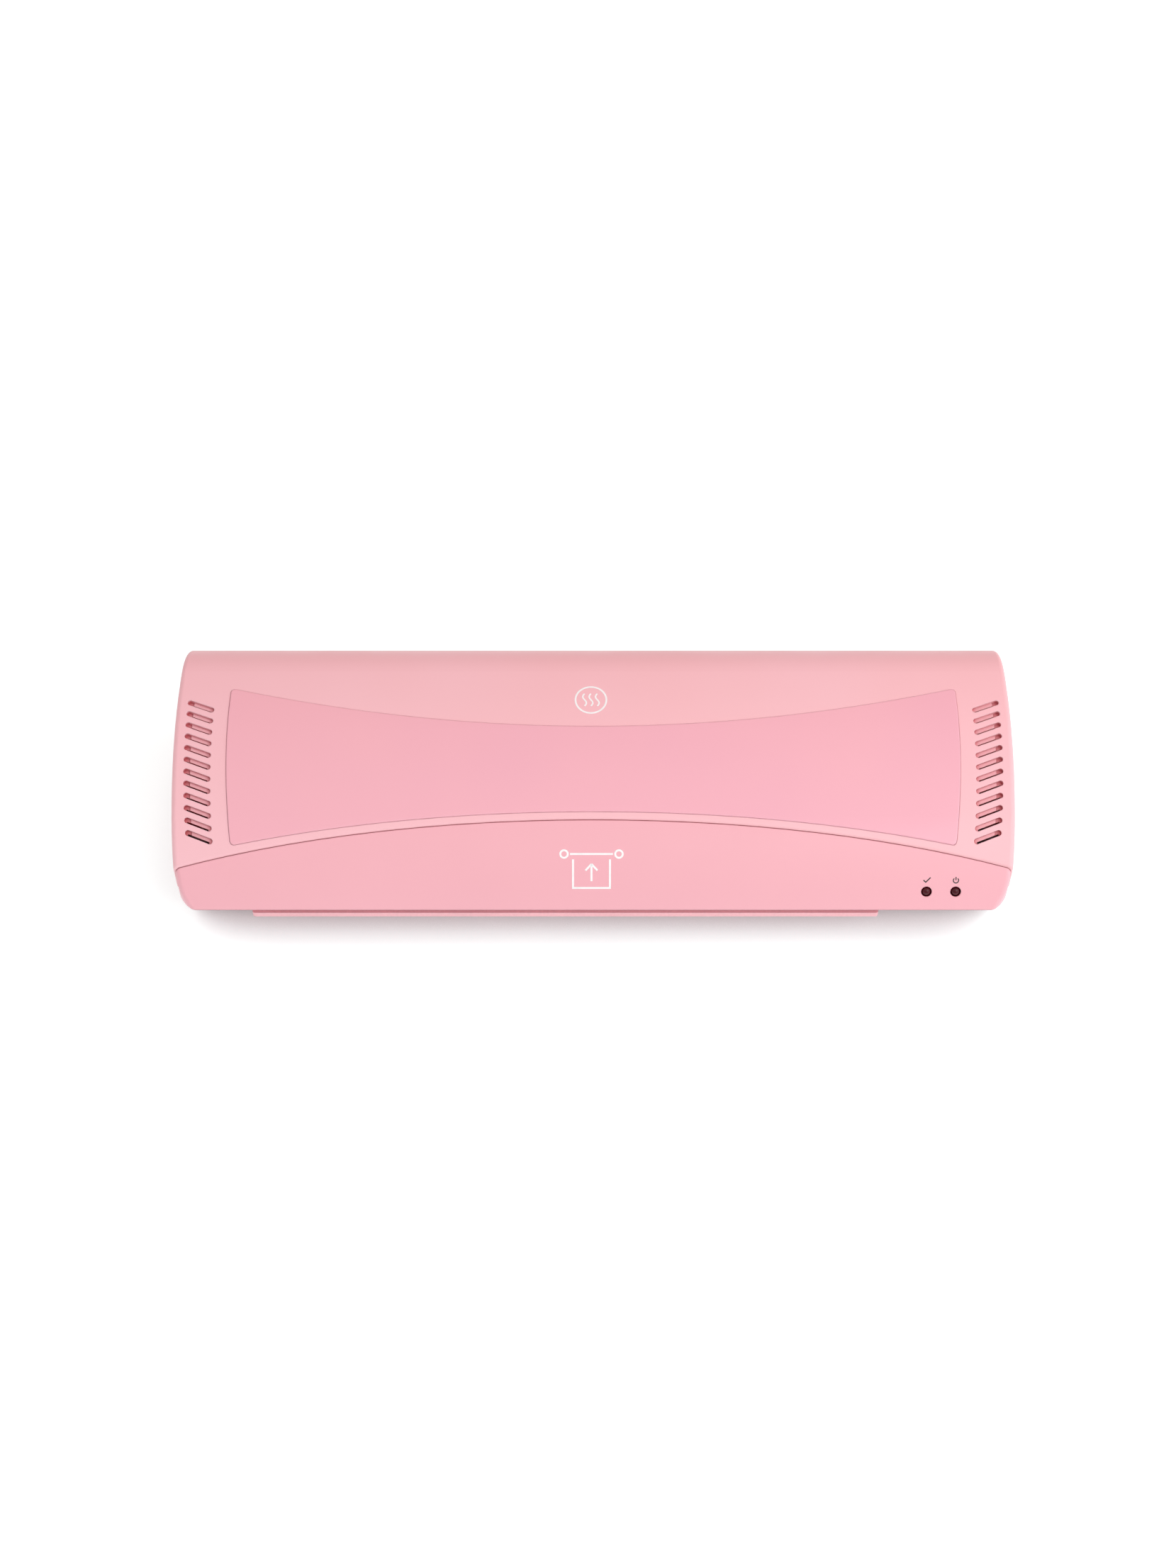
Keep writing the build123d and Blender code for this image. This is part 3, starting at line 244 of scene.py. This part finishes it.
BRUSHED_X = (0.02, 1, 1)
# A paler pink painted along the cover's and the inlay's sharp edges as a highlight.
PAINTED_EDGE_HIGHLIGHT = (0.95, 0.68, 0.73)
MATERIALS = {
    "cover_plastic": finish_material("cover_pink_grained", COVER_PINK, 0.965, (7.0, 3), (0.40, 0.50),
                                     (1700.0, 0.02),
                                     edge_highlight_strength=0.5, edge_highlight_colour=PAINTED_EDGE_HIGHLIGHT, crevice_shade_reach=0.0022,
                                     drift=(0.88, 0.465, 0.50)),
    "inlay_plastic": finish_material("inlay_pink_satin", INLAY_PINK, 0.97, (6.0, 3), (0.28, 0.38), (1100.0,
                                     0.010),
                                     edge_highlight_strength=0.8, edge_highlight_colour=PAINTED_EDGE_HIGHLIGHT, drift=(0.82, 0.39, 0.48)),
    "apron_plastic": finish_material("apron_pink_satin", APRON_PINK, 0.96, (7.0, 3), (0.36, 0.46), (1500.0,
                                     0.012),
                                     edge_highlight_strength=0.3, crevice_shade_reach=0.0018),
    "shelf_plastic": finish_material("shelf_pink_mottled", SHELF_PINK, 0.93, (60.0, 4), (0.48, 0.60),
                                     (900.0, 0.04),
                                     speck=0.2),
    "tub_plastic": finish_material("tub_pink_grained", TUB_PINK, 0.96, (7.0, 3), (0.42, 0.52), (1600.0, 0.02),
                                   crevice_shade_reach=0.0018),
    "lever_plastic": finish_material("lever_pink_grained", APRON_PINK, 0.95, (30.0, 3), (0.34, 0.46),
                                     (1600.0, 0.015),
                                     edge_highlight_strength=0.5),
    "lamp_epoxy": lamp_material("lamp_red_epoxy"),
    "circuit_board": board_material("board_green_mask"),
    "resistor_body": finish_material("resistor_tan_enamel", (0.62, 0.46, 0.28), 0.8, (300.0, 3), (0.3, 0.45),
                                     (2500.0, 0.02), edge=0, coat=0.3),
    "rubber_black": finish_material("rubber_matt_black", (0.035, 0.034, 0.033), 0.75, (60.0, 3), (0.65, 0.85),
                                    (1500.0, 0.05), edge_highlight_strength=0.15, specular=0.35),
    "screw_steel": finish_material("screw_zinc_plate", (0.60, 0.60, 0.61), 0.85, (250.0, 3), (0.25, 0.42),
                                   (2500.0, 0.01), metallic=1.0),
    "switch_black": finish_material("switch_black_nylon", (0.022, 0.022, 0.023), 0.8, (60.0, 3), (0.30, 0.45),
                                    (1800.0, 0.02), edge_highlight_strength=0.2),
    "frame_steel": spangle_material("frame_galvanised", (0.66, 0.67, 0.68)),
    "shaft_steel": finish_material("shaft_ground_steel", (0.70, 0.70, 0.71), 0.88, (900.0, 4), (0.18, 0.34),
                                   (3000.0, 0.006), BRUSHED_X, 1.0),
    "silicone_red": finish_material("sleeve_silicone", (0.52, 0.11, 0.06), 0.82, (90.0, 4), (0.55, 0.72),
                                    (1500.0, 0.03), specular=0.4),
    "bush_plastic": finish_material("bush_filled_plastic", (0.16, 0.16, 0.17), 0.8, (200.0, 3), (0.4, 0.55),
                                    (1800.0, 0.02)),
    "gear_plastic": finish_material("gear_natural_acetal", (0.80, 0.78, 0.70), 0.93, (80.0, 3), (0.28, 0.42),
                                    (1800.0, 0.01)),
    "spring_steel": finish_material("spring_drawn_wire", (0.48, 0.48, 0.50), 0.85, (500.0, 3), (0.22, 0.38),
                                    (3000.0, 0.01), metallic=1.0, edge=0),
    "motor_can": finish_material("motor_plated_can", (0.66, 0.66, 0.68), 0.9, (500.0, 4), (0.22, 0.38),
                                 (2500.0, 0.008), BRUSHED_X, 1.0),
    "heater_aluminium": finish_material("plate_mill_aluminium", (0.76, 0.77, 0.78), 0.9, (800.0, 4), (0.28,
                                        0.44),
                                        (2500.0, 0.012), BRUSHED_X, 1.0),
    "mica_sheet": finish_material("element_mica", (0.60, 0.53, 0.38), 0.7, (120.0, 5), (0.35, 0.6), (900.0,
                                  0.04),
                                  speck=0.35),
    "phenolic": finish_material("thermostat_phenolic", (0.07, 0.045, 0.03), 0.7, (300.0, 4), (0.35, 0.5),
                                (1500.0, 0.02)),
    "guide_plastic": finish_material("guide_dark_plastic", (0.07, 0.07, 0.07), 0.8, (80.0, 3), (0.45, 0.6),
                                     (1600.0, 0.02)),
}


def dress_nodes():
    """Gives each CAD node the material of its slot in the record."""
    for part in frame["record"]["subparts"]:
        slots = NODES[part["node"]].data.materials
        for index in range(len(slots)):
            slots[index] = MATERIALS[part["material_slot"]]


# ================================================================ printed marks
INK_PROUD, INK_SUNK = 0.03, 0.08     # mm above and below the surface


class Printer:
    """Lays strokes of ink, drawn in mm on a flat plane, onto a CAD node's surface."""

    def __init__(self, node, origin, normal):
        mesh = NODES[node].data
        self.tree = BVHTree.FromPolygons([v.co for v in mesh.vertices], [p.vertices for p in mesh.polygons])
        self.normal = Vector(normal).normalized()
        self.right = Vector((1, 0, 0))
        self.up = self.normal.cross(self.right)
        self.origin = Vector(origin) * MM
        self.bm = bmesh.new()

    def on_surface(self, x, y):
        """The surface point under a point of the drawing, and the surface's normal there."""
        start = self.origin + (self.right * x + self.up * y) * MM + self.normal * 0.02
        point, normal, _, _ = self.tree.ray_cast(start, -self.normal, 0.05)
        if normal.dot(self.normal) < 0:
            normal = -normal
        return point, normal

    def stroke(self, points, width, closed=False):
        """A ribbon of ink along a chain of points."""
        points = [Vector(p) for p in points]
        count = len(points)
        rings = []
        for index, here in enumerate(points):
            if closed:
                before, after = points[index - 1], points[(index + 1) % count]
            else:
                before, after = points[max(index - 1, 0)], points[min(index + 1, count - 1)]
            first = (here - before).normalized() if here != before else (after - here).normalized()
            second = (after - here).normalized() if after != here else first
            along = (first + second).normalized()
            side = Vector((-along.y, along.x)) * (width / 2 / max(along.dot(first), 0.5))
            ring = []
            for flat in (here + side, here - side):
                point, normal = self.on_surface(flat.x, flat.y)
                ring.append(self.bm.verts.new(point + normal * INK_PROUD * MM))
                ring.append(self.bm.verts.new(point - normal * INK_SUNK * MM))
            rings.append((ring[0], ring[2], ring[3], ring[1]))
        pairs = list(zip(rings, rings[1:])) + ([(rings[-1], rings[0])] if closed else [])
        for one, two in pairs:
            for k in range(4):
                self.bm.faces.new((one[k], one[(k + 1) % 4], two[(k + 1) % 4], two[k]))
        if not closed:
            self.bm.faces.new(rings[0][::-1])
            self.bm.faces.new(rings[-1])

    def line(self, start, end, width, step=0.8):
        count = max(2, int(math.dist(start, end) / step) + 1)
        self.stroke([Vector(start).lerp(Vector(end), i / (count - 1)) for i in range(count)], width)

    def arc(self, centre, radius, start, end, width, count=28):
        """An arc in degrees, anticlockwise; a full turn closes on itself."""
        whole = abs(end - start) >= 360
        spans = count if whole else count - 1
        angles = [math.radians(start + (end - start) * i / spans) for i in range(count)]
        points = [(centre[0] + radius * math.cos(a), centre[1] + radius * math.sin(a)) for a in angles]
        self.stroke(points, width, whole)

    def done(self, name, material):
        bmesh.ops.recalc_face_normals(self.bm, faces=self.bm.faces)
        mesh = bpy.data.meshes.new(name)
        self.bm.to_mesh(mesh)
        self.bm.free()
        mesh.materials.append(material)
        obj = bpy.data.objects.new(name, mesh)
        bpy.context.scene.collection.objects.link(obj)
        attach(obj, "root")
        return obj


def ink_material(name, colour):
    """Pad-printed ink, slightly thin in places."""
    return finish_material(name, colour, 0.93, (400.0, 3), (0.35, 0.5), (2500.0, 0.01), edge=0)


HEAT_STROKE, WAVE_STROKE, FEED_STROKE = 0.75, 0.65, 0.8
WAVE_STEPS = 14


def heat_mark():
    """A ring with three rising waves, for the warm top."""
    printer = Printer("top_cover", (-0.9, 19.0, 60), (0, -0.05, 1))
    printer.arc((0, 0), 6.3, 0, 360, HEAT_STROKE, 48)
    for x in (-2.6, 0.0, 2.6):
        wave = [(x + 0.75 * math.sin(i / WAVE_STEPS * math.tau), -3.0 + 6.0 * i / WAVE_STEPS)
                for i in range(WAVE_STEPS + 1)]
        printer.stroke(wave, WAVE_STROKE)
    return printer.done("heat_mark", WHITE)


def feed_mark():
    """A pouch outline under a roller line, with an arrow along the feed."""
    printer = Printer("front_apron", (-0.7, -47.6, 40), (0, -0.7, 0.714))
    for side in (-1, 1):
        printer.line((side * 7.4, -7.4), (side * 7.4, 4.3), FEED_STROKE)
        printer.arc((side * 11.0, 6.4), 1.5, 0, 360, FEED_STROKE, 20)
    printer.line((-7.8, -7.4), (7.8, -7.4), FEED_STROKE)
    printer.line((-8.6, 6.4), (8.6, 6.4), FEED_STROKE)
    printer.line((0, -4.6), (0, 1.8), FEED_STROKE)
    printer.line((-2.4, -0.2), (0, 2.4), FEED_STROKE)
    printer.line((2.4, -0.2), (0, 2.4), FEED_STROKE)
    return printer.done("feed_mark", WHITE)


LAMP_TILT = math.radians(51.6)     # from the vertical
LAMP_AXIS = Vector((0, -math.sin(LAMP_TILT), math.cos(LAMP_TILT)))
LAMP_SKIN_RISE = 3.1            # mm from the middle of the lamp's box up to the apron's skin
TICK_STROKE, POWER_STROKE, LAMP_MARK_STEP = 0.46, 0.42, 0.3
HOLE_SHADE_SIDES = 48
HOLE_SHADE_PROFILE = ((1.93, -2.6), (1.93, -0.35), (2.0, -0.12), (2.16, -0.12), (2.16, -2.6))     # radius, height


def lamp_place(node):
    """The lamp's centre line where it meets the apron's skin, in mm."""
    low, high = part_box(node)
    middle = (low + high) / 2
    return middle / MM + LAMP_AXIS * LAMP_SKIN_RISE


def lamp_marks():
    """A tick above the left lamp and a power sign above the right one."""
    tick = Printer("front_apron", lamp_place("ready_lamp"), LAMP_AXIS)
    tick.line((-1.3, 4.9), (-0.35, 4.0), TICK_STROKE, LAMP_MARK_STEP)
    tick.line((-0.5, 3.95), (1.5, 6.0), TICK_STROKE, LAMP_MARK_STEP)
    tick.done("ready_mark", BLACK)
    power = Printer("front_apron", lamp_place("power_lamp"), LAMP_AXIS)
    power.arc((0, 4.8), 1.05, 130, 410, POWER_STROKE, 24)
    power.line((0, 4.9), (0, 6.2), POWER_STROKE, LAMP_MARK_STEP)
    power.done("power_mark", BLACK)


def lamp_hole_shade_liner(node):
    """A dark liner in the lamp's hole: painted shade for the dark gap round the lamp."""
    centre = lamp_place(node)
    right = Vector((1, 0, 0))
    up = LAMP_AXIS.cross(right)
    bm = bmesh.new()
    rings = []
    for index in range(HOLE_SHADE_SIDES):
        angle = math.tau * index / HOLE_SHADE_SIDES
        out = right * math.cos(angle) + up * math.sin(angle)
        rings.append([bm.verts.new((centre + out * r + LAMP_AXIS * h) * MM) for r, h in HOLE_SHADE_PROFILE])
    for index, ring in enumerate(rings):
        following = rings[(index + 1) % len(rings)]
        for k in range(len(HOLE_SHADE_PROFILE)):
            m = (k + 1) % len(HOLE_SHADE_PROFILE)
            bm.faces.new((ring[k], following[k], following[m], ring[m]))
    bmesh.ops.recalc_face_normals(bm, faces=bm.faces)
    mesh = bpy.data.meshes.new(node + "_hole_shade_liner")
    bm.to_mesh(mesh)
    bm.free()
    for polygon in mesh.polygons:
        polygon.use_smooth = True
    mesh.materials.append(PAINTED_HOLE_SHADE)
    obj = bpy.data.objects.new(node + "_hole_shade_liner", mesh)
    bpy.context.scene.collection.objects.link(obj)
    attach(obj, "root")


# ================================================================ camera and light
def make_camera():
    """The photograph's viewing angle: from the front and above."""
    data = bpy.data.cameras.new("camera")
    data.sensor_fit = "AUTO"
    data.sensor_width = 36.0
    data.lens = data.sensor_width * CAMERA_DISTANCE / FRAME_HEIGHT
    camera = bpy.data.objects.new("camera", data)
    bpy.context.scene.collection.objects.link(camera)
    angle = math.radians(VIEW_ELEVATION)
    back = Vector((0, -math.cos(angle), math.sin(angle)))
    camera.location = AIM + back * CAMERA_DISTANCE
    camera.rotation_euler = (math.pi / 2 - angle, 0, 0)
    bpy.context.scene.camera = camera


def area_light(name, location, target, size, power):
    """A soft square panel aimed at a point."""
    data = bpy.data.lights.new(name, "AREA")
    data.shape = "SQUARE"
    data.size = size
    data.energy = power
    light = bpy.data.objects.new(name, data)
    light.location = location
    light.rotation_euler = (Vector(target) - Vector(location)).to_track_quat("-Z", "Y").to_euler()
    bpy.context.scene.collection.objects.link(light)


def make_studio():
    """A world brightest above and to the right, dim and warm behind, with two soft panels and a floor whose
    glow fades near the object, a painted contact shadow.
    """
    world = bpy.data.worlds.new("studio")
    bpy.context.scene.world = world
    world.use_nodes = True
    tree = world.node_tree
    coordinates = tree.nodes.new("ShaderNodeTexCoord")
    split = tree.nodes.new("ShaderNodeSeparateXYZ")
    tree.links.new(coordinates.outputs["Generated"], split.inputs["Vector"])
    ahead = spread(tree, split.outputs["Y"], SKY_FRONT, SKY_TOP, SKY_AHEAD_SPAN)
    behind = spread(tree, split.outputs["Y"], 1.0, SKY_BACK / SKY_TOP, SKY_BEHIND_SPAN)
    strength = new_node(tree, "ShaderNodeMath", operation="MULTIPLY")
    tree.links.new(ahead, strength.inputs[0])
    tree.links.new(behind, strength.inputs[1])
    sideways = new_node(tree, "ShaderNodeMath", operation="MULTIPLY")
    tree.links.new(strength.outputs["Value"], sideways.inputs[0])
    tree.links.new(spread(tree, split.outputs["X"], SKY_LEFT, SKY_RIGHT, SKY_SIDE_SPAN), sideways.inputs[1])
    back = spread(tree, split.outputs["Y"], 0.0, 1.0, SKY_BEHIND_SPAN)
    background = tree.nodes["Background"]
    tree.links.new(blend_colours(tree, back, (1.0, 1.0, 1.0), SKY_BACK_TINT), background.inputs["Color"])
    tree.links.new(sideways.outputs["Value"], background.inputs["Strength"])
    area_light("key", KEY_PLACE, KEY_TARGET, KEY_SIZE, KEY_POWER)
    area_light("fill", FILL_PLACE, FILL_TARGET, FILL_SIZE, FILL_POWER)
    mesh = bpy.data.meshes.new("floor")
    corners = [(x * FLOOR_HALF, y * FLOOR_HALF, 0) for x, y in ((-1, -1), (1, -1), (1, 1), (-1, 1))]
    mesh.from_pydata(corners, [], [(0, 1, 2, 3)])
    floor = bpy.data.objects.new("floor", mesh)
    bpy.context.scene.collection.objects.link(floor)
    paper = finish_material("floor_paper", FLOOR_COLOUR, 0.99, (2.0, 2), (0.85, 0.95), (900.0, 0.005), edge=0,
                            specular=0.1)
    shader = paper.node_tree.nodes["Principled BSDF"]
    shader.inputs["Emission Color"].default_value = (1, 1, 1, 1)
    # Painted contact shadow: the floor's glow fades where the object walls in its sky.
    occlusion = new_node(paper.node_tree, "ShaderNodeAmbientOcclusion", samples=8, Distance=FLOOR_SHADE_REACH)
    glow = spread(paper.node_tree, occlusion.outputs["AO"], 0.0, FLOOR_GLOW, FLOOR_SHADE_SPAN)
    paper.node_tree.links.new(glow, shader.inputs["Emission Strength"])
    mesh.materials.append(paper)


WHITE = ink_material("ink_white", WHITE_INK)
BLACK = ink_material("ink_black", BLACK_INK)
# Painted shade: a near-black liner for the dark gap in the lamps' holes.
PAINTED_HOLE_SHADE = finish_material("painted_hole_shade_black", (0.012, 0.008, 0.008), 0.8, (200.0, 3), (0.5, 0.65),
                         (1500.0, 0.02), edge=0, specular=0.2)
dress_nodes()
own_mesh(NODES["pressure_springs"])
heat_mark()
feed_mark()
lamp_marks()
# Painted shade liners in both lamps' holes.
for lamp in ("ready_lamp", "power_lamp"):
    lamp_hole_shade_liner(lamp)
make_camera()
make_studio()
bpy.context.scene.view_settings.view_transform = "Standard"
